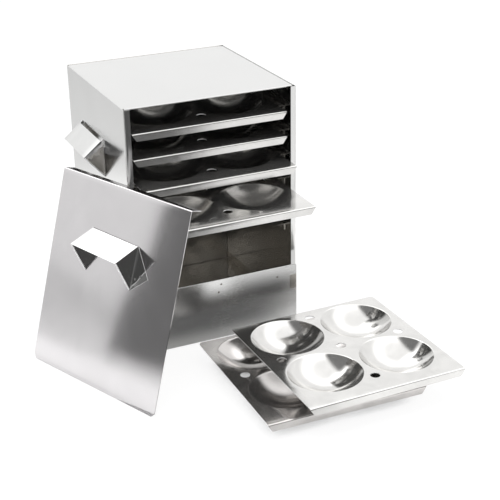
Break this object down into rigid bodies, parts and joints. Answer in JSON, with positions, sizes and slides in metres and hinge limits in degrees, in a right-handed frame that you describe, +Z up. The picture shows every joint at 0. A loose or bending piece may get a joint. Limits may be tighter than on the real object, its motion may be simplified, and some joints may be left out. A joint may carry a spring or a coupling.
{
  "type": "idli steamer",
  "caption": "Sheet-steel idli steamer: a box cabinet with a water tank, lift-out leaning door, folded handles and sliding trays of dished cups with steam holes.",
  "frame": {"origin": "centre of the cabinet's footprint, on the surface that it stands on", "axes": "+X to the right along the front, +Y from the front into the cabinet, +Z up"},
  "size_m": [0.3988, 0.4723, 0.303],
  "materials": {
    "body_steel": "satin stainless sheet",
    "inner_steel": "mill-finish stainless sheet",
    "door_steel": "satin stainless sheet",
    "handle_steel": "satin stainless sheet",
    "tray_steel": "bright pressed stainless sheet"
  },
  "bodies": {
    "cabinet": {"top_panel": "body_steel", "left_wall": "body_steel", "right_wall": "body_steel", "back_panel": "body_steel", "base_pan": "inner_steel", "tank_front": "body_steel", "left_rail_1": "inner_steel", "left_rail_2": "inner_steel", "left_rail_3": "inner_steel", "left_rail_4": "inner_steel", "left_rail_5": "inner_steel", "left_rail_6": "inner_steel", "right_rail_1": "inner_steel", "right_rail_2": "inner_steel", "right_rail_3": "inner_steel", "right_rail_4": "inner_steel", "right_rail_5": "inner_steel", "right_rail_6": "inner_steel", "left_handle": "handle_steel", "right_handle": "handle_steel"},
    "door": {"door_panel": "door_steel", "door_handle": "handle_steel"},
    "first_tray": {"tray_1": "tray_steel"},
    "second_tray": {"tray_2": "tray_steel"},
    "third_tray": {"tray_3": "tray_steel"},
    "fourth_tray": {"tray_4": "tray_steel"},
    "lower_tray": {"loose_tray_lower": "tray_steel"},
    "upper_tray": {"loose_tray_upper": "tray_steel"}
  },
  "joints": [
    {"name": "first_tray_slide", "type": "slide", "parent": "cabinet", "child": "first_tray", "axis": [0, -1, 0], "range_m": [0, 0.19]},
    {"name": "second_tray_slide", "type": "slide", "parent": "cabinet", "child": "second_tray", "axis": [0, -1, 0], "range_m": [0, 0.19]},
    {"name": "third_tray_slide", "type": "slide", "parent": "cabinet", "child": "third_tray", "axis": [0, -1, 0], "range_m": [-0.022, 0.045]},
    {"name": "fourth_tray_slide", "type": "slide", "parent": "cabinet", "child": "fourth_tray", "axis": [0, -1, 0], "range_m": [-0.0777, 0.004]},
    {"name": "door_move_away", "type": "slide", "parent": "cabinet", "child": "door", "axis": [-0.9208, -0.3899, 0], "range_m": [0, 0.1]},
    {"name": "lower_tray_lift", "type": "slide", "parent": "cabinet", "child": "lower_tray", "axis": [0, 0, 1], "range_m": [0, 0.045]},
    {"name": "upper_tray_lift", "type": "slide", "parent": "lower_tray", "child": "upper_tray", "axis": [0, 0, 1], "range_m": [0, 0.05]}
  ]
}
